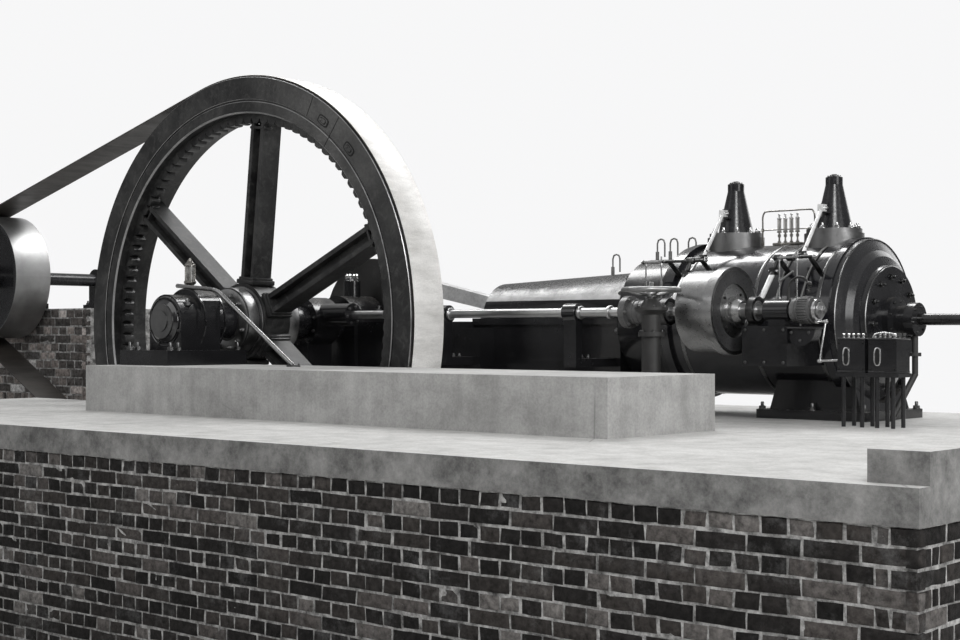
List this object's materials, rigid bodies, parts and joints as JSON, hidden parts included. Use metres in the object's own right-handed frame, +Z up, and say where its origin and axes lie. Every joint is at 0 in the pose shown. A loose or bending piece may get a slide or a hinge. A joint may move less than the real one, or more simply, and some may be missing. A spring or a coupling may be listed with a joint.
{
  "type": "horizontal stationary steam engine with belt flywheel",
  "caption": "Horizontal drop-valve steam engine with a spoked belt flywheel, side-shaft valve gear, outboard bearing and a brick foundation with a wheel pit.",
  "frame": {"origin": "below the crankshaft's axis and on the engine's centreline, on the foundation's underside", "axes": "+X from the crank towards the cylinder, +Y away from the side the attendant stands on, +Z up"},
  "size_m": [11.237, 5.3, 3.977],
  "materials": {
    "brick": "old dark brick with pale mortar",
    "concrete": "pale cast concrete, stained",
    "black_enamel": "glossy black enamel",
    "dark_iron": "dark painted and oiled iron",
    "polished_steel": "polished machined steel",
    "oiled_bronze": "worn brass",
    "belt_leather": "dark oiled leather"
  },
  "bodies": {
    "base": {"front_brickwork": "brick", "middle_brickwork": "brick", "rear_brickwork": "brick", "front_floor": "concrete", "middle_floor": "concrete", "rear_floor": "concrete", "bearing_plinth": "concrete", "pulley_pier": "brick", "bed_frame": "black_enamel", "guide_cover": "polished_steel", "main_bearing_cap": "black_enamel", "outboard_pedestal": "black_enamel", "outboard_cap": "black_enamel", "bevel_casing": "black_enamel", "cylinder_barrel": "black_enamel", "front_cover": "black_enamel", "end_cover": "black_enamel", "tail_gland": "dark_iron", "cylinder_foot": "black_enamel", "steam_inlet": "black_enamel", "exhaust_outlet": "black_enamel", "front_valve_bonnet": "black_enamel", "rear_valve_bonnet": "black_enamel", "front_valve_gear": "polished_steel", "rear_valve_gear": "polished_steel", "side_shaft_brackets": "black_enamel", "lubricators": "black_enamel", "lubricator_stand": "black_enamel", "sight_feed_oilers": "oiled_bronze", "oil_pipes": "dark_iron", "stop_valve_column": "dark_iron", "handrail": "polished_steel", "drain_pipe": "dark_iron", "belt": "belt_leather", "pulley_bearings": "black_enamel"},
    "flywheel": {"flywheel_rim": "black_enamel", "barring_ring": "dark_iron", "flywheel_spokes": "black_enamel", "crankshaft": "polished_steel", "crank_disc": "dark_iron"},
    "crosshead": {"crosshead": "polished_steel", "piston_rod": "polished_steel"},
    "connecting_rod": {"connecting_rod": "polished_steel"},
    "side_shaft": {"side_shaft": "polished_steel", "governor_drum": "black_enamel"},
    "pulley": {"driven_pulley": "polished_steel"},
    "handwheel": {"handwheel": "polished_steel"}
  },
  "joints": [
    {"name": "crankshaft_turn", "type": "hinge", "parent": "base", "child": "flywheel", "pos_m": [0, 0, 2.06], "axis": [0, 1, 0], "continuous": true},
    {"name": "side_shaft_turn", "type": "hinge", "parent": "base", "child": "side_shaft", "pos_m": [3, -0.84, 2.115], "axis": [1, 0, 0], "continuous": true},
    {"name": "pulley_turn", "type": "hinge", "parent": "base", "child": "pulley", "pos_m": [-3.65, -1.47, 2.49], "axis": [0, 1, 0], "continuous": true},
    {"name": "crosshead_slide", "type": "slide", "parent": "base", "child": "crosshead", "axis": [1, 0, 0], "range_m": [-0.3596, 0.4404]},
    {"name": "rod_swing", "type": "hinge", "parent": "crosshead", "child": "connecting_rod", "pos_m": [1.9596, 0, 2.06], "axis": [0, 1, 0], "range_deg": [-23.07, 0]},
    {"name": "stop_valve_turn", "type": "hinge", "parent": "base", "child": "handwheel", "pos_m": [3.7, -1.28, 2.25], "axis": [0, 0, 1], "range_deg": [-720, 720]}
  ],
  "couplings": [
    {"joint": "side_shaft_turn", "follows": "crankshaft_turn", "ratio": 1},
    {"joint": "pulley_turn", "follows": "crankshaft_turn", "ratio": 3.3333}
  ]
}
